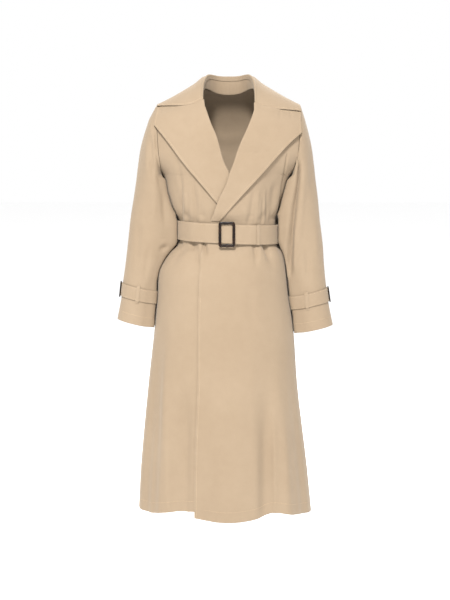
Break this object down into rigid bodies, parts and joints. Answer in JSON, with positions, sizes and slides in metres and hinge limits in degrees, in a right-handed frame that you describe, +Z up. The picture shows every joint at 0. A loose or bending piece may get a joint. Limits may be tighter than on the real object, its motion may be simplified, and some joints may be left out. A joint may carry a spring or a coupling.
{
  "type": "trench coat",
  "caption": "Long belted trench coat in its worn, hollow form, with wide lapels, a notched collar, a wrapped front and buckled cuff straps.",
  "frame": {"origin": "between the shoulders, at the height where the shoulder seams meet the neck", "axes": "+Z up, the front of the coat faces -Y, +X towards the wearer's left"},
  "size_m": [0.5827, 0.3441, 1.1752],
  "materials": {
    "coat_cloth": "matte twill, plain weave close up",
    "buckle_resin": "dark brown, polished"
  },
  "bodies": {
    "root": {"back": "coat_cloth", "front_right": "coat_cloth", "front_left": "coat_cloth", "lapel_right": "coat_cloth", "lapel_left": "coat_cloth", "collar_fall": "coat_cloth", "collar_stand": "coat_cloth", "belt": "coat_cloth", "belt_tail": "coat_cloth", "belt_keeper": "coat_cloth", "belt_buckle": "buckle_resin", "sleeve_right": "coat_cloth", "cuff_strap_right": "coat_cloth", "cuff_loop_right": "coat_cloth", "cuff_buckle_right": "buckle_resin", "sleeve_left": "coat_cloth", "cuff_strap_left": "coat_cloth", "cuff_loop_left": "coat_cloth", "cuff_buckle_left": "buckle_resin"}
  },
  "joints": []
}
